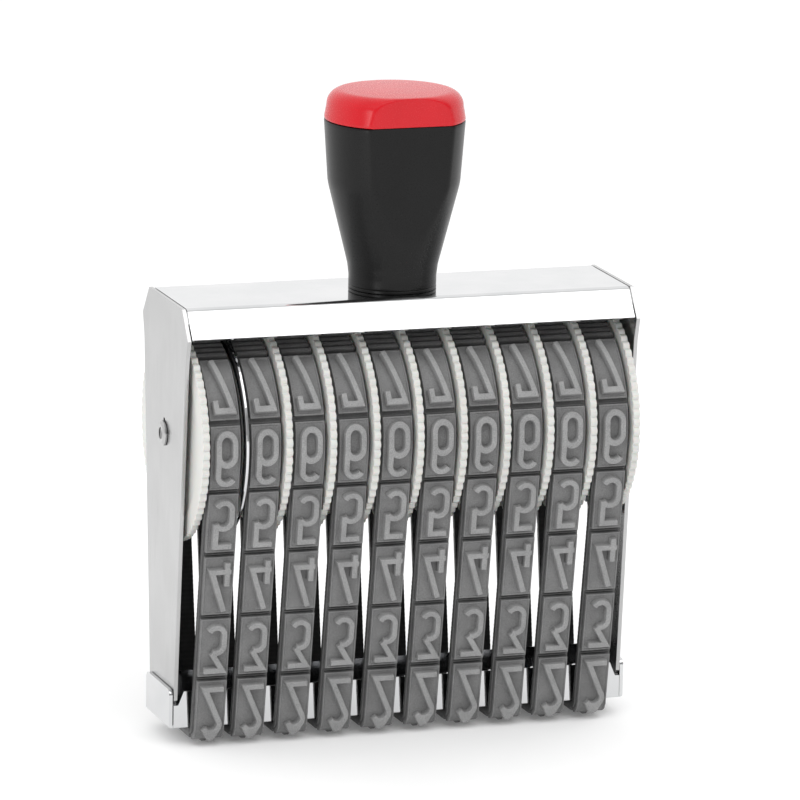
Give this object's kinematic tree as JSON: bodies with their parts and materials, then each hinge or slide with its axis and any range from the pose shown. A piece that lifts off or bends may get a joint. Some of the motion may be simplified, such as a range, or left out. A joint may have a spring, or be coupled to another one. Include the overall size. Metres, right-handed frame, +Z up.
{
  "type": "rotary number stamp",
  "caption": "Hand stamp with a row of toothed thumb wheels, each turning an endless band of raised numerals, in a folded steel frame under a waisted handle.",
  "frame": {"origin": "on the standing surface, below the middle of the stamp's overall box", "axes": "+X along the wheels' axle to the right seen from the front, +Y to the rear, +Z up the handle"},
  "size_m": [0.1324, 0.0596, 0.1785],
  "materials": {
    "plated_steel": "bright nickel plating",
    "chromed_steel": "polished chrome",
    "grey_rubber": "matt moulded",
    "white_plastic": "satin moulded",
    "black_plastic": "semi-gloss moulded",
    "red_plastic": "gloss moulded"
  },
  "bodies": {
    "root": {"side_plate_left": "plated_steel", "side_plate_right": "plated_steel", "top_housing": "plated_steel", "base_channel": "chromed_steel", "axle": "plated_steel", "divider_disc": "plated_steel", "handle_body": "black_plastic", "handle_cap": "red_plastic", "handle_collar": "black_plastic", "handle_screw": "plated_steel", "screw_washer": "plated_steel", "band_01": "grey_rubber", "band_02": "grey_rubber", "band_03": "grey_rubber", "band_04": "grey_rubber", "band_05": "grey_rubber", "band_06": "grey_rubber", "band_07": "grey_rubber", "band_08": "grey_rubber", "band_09": "grey_rubber", "band_10": "grey_rubber"},
    "wheel_01": {"wheel_01": "white_plastic"},
    "wheel_02": {"wheel_02": "white_plastic"},
    "wheel_03": {"wheel_03": "white_plastic"},
    "wheel_04": {"wheel_04": "white_plastic"},
    "wheel_05": {"wheel_05": "white_plastic"},
    "wheel_06": {"wheel_06": "white_plastic"},
    "wheel_07": {"wheel_07": "white_plastic"},
    "wheel_08": {"wheel_08": "white_plastic"},
    "wheel_09": {"wheel_09": "white_plastic"},
    "wheel_10": {"wheel_10": "white_plastic"}
  },
  "joints": [
    {"name": "wheel_01_turn", "type": "hinge", "parent": "root", "child": "wheel_01", "pos_m": [0, 0, 0.0856], "axis": [1, 0, 0], "continuous": true},
    {"name": "wheel_02_turn", "type": "hinge", "parent": "root", "child": "wheel_02", "pos_m": [0, 0, 0.0856], "axis": [1, 0, 0], "continuous": true},
    {"name": "wheel_03_turn", "type": "hinge", "parent": "root", "child": "wheel_03", "pos_m": [0, 0, 0.0856], "axis": [1, 0, 0], "continuous": true},
    {"name": "wheel_04_turn", "type": "hinge", "parent": "root", "child": "wheel_04", "pos_m": [0, 0, 0.0856], "axis": [1, 0, 0], "continuous": true},
    {"name": "wheel_05_turn", "type": "hinge", "parent": "root", "child": "wheel_05", "pos_m": [0, 0, 0.0856], "axis": [1, 0, 0], "continuous": true},
    {"name": "wheel_06_turn", "type": "hinge", "parent": "root", "child": "wheel_06", "pos_m": [0, 0, 0.0856], "axis": [1, 0, 0], "continuous": true},
    {"name": "wheel_07_turn", "type": "hinge", "parent": "root", "child": "wheel_07", "pos_m": [0, 0, 0.0856], "axis": [1, 0, 0], "continuous": true},
    {"name": "wheel_08_turn", "type": "hinge", "parent": "root", "child": "wheel_08", "pos_m": [0, 0, 0.0856], "axis": [1, 0, 0], "continuous": true},
    {"name": "wheel_09_turn", "type": "hinge", "parent": "root", "child": "wheel_09", "pos_m": [0, 0, 0.0856], "axis": [1, 0, 0], "continuous": true},
    {"name": "wheel_10_turn", "type": "hinge", "parent": "root", "child": "wheel_10", "pos_m": [0, 0, 0.0856], "axis": [1, 0, 0], "continuous": true}
  ]
}
